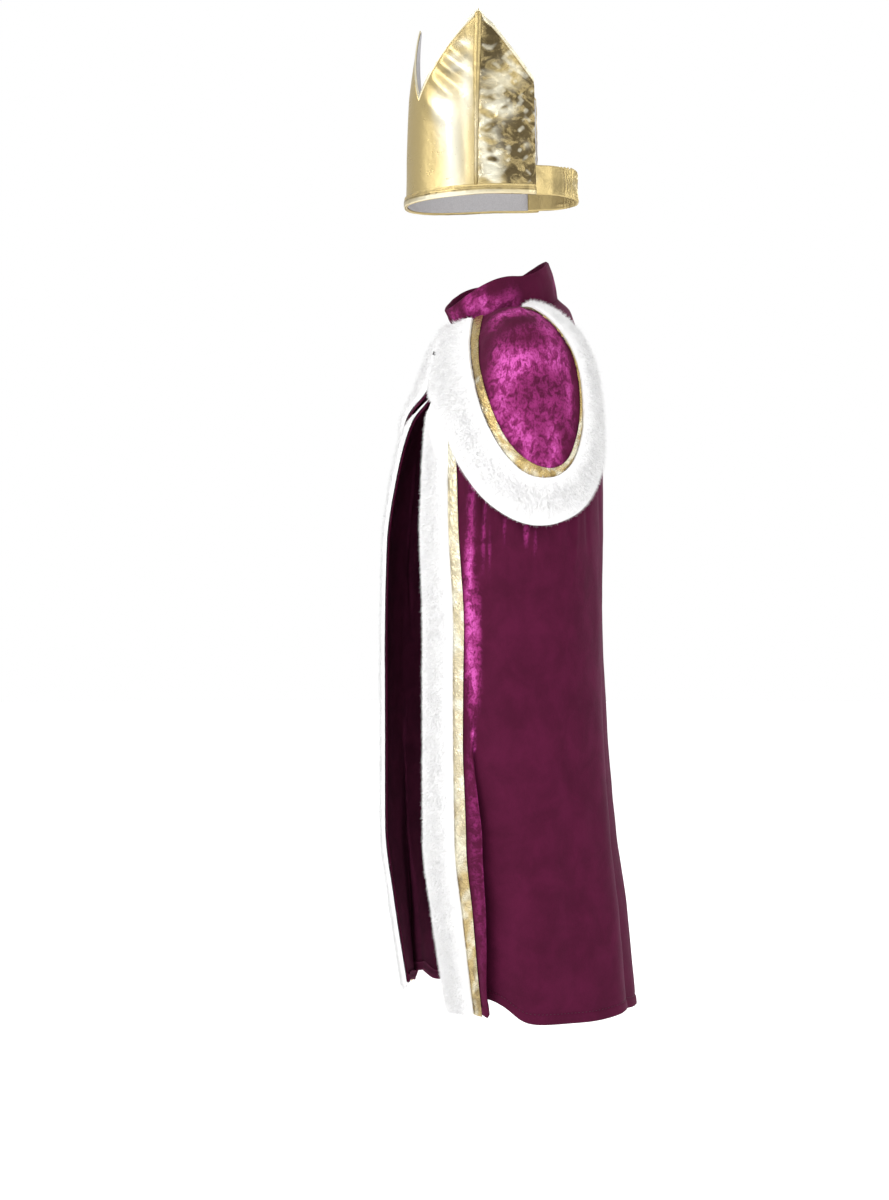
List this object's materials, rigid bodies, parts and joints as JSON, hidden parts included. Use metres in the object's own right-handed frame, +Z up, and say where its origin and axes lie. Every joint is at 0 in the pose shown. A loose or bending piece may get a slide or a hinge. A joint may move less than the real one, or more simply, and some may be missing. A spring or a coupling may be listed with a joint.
{
  "type": "child's king costume",
  "caption": "Child's king costume: an open-fronted velvet robe with fur-edged shoulder lobes and a stand collar, and a soft gold cloth crown with pointed panels.",
  "frame": {"origin": "middle of the neck seam, where the collar joins the robe, on the wearer's centre line", "axes": "+Z up the standing wearer; the wearer faces -Y; the wearer's left is +X"},
  "size_m": [0.3599, 0.2516, 1.0623],
  "materials": {
    "velvet": "crushed velvet, plum with magenta sheen",
    "fur": "short white plush fur",
    "gold_braid": "woven metallic braid",
    "gold_lame": "metallic gold cloth",
    "grey_backing": "matt non-woven backing",
    "hook_wire": "dull dark wire"
  },
  "bodies": {
    "root": {"cape_body": "velvet", "collar": "velvet", "neck_hook": "hook_wire", "lobe_left": "velvet", "lobe_right": "velvet", "lobe_fur_left": "fur", "lobe_fur_right": "fur", "lobe_braid_left": "gold_braid", "lobe_braid_right": "gold_braid", "front_fur_left": "fur", "front_fur_right": "fur", "front_braid_left": "gold_braid", "front_braid_right": "gold_braid", "crown_front": "gold_lame", "crown_side_left": "gold_lame", "crown_side_right": "gold_lame", "crown_seam_left": "gold_lame", "crown_seam_right": "gold_lame", "crown_hem": "gold_lame", "crown_back_band": "gold_lame", "crown_lining": "grey_backing"}
  },
  "joints": []
}
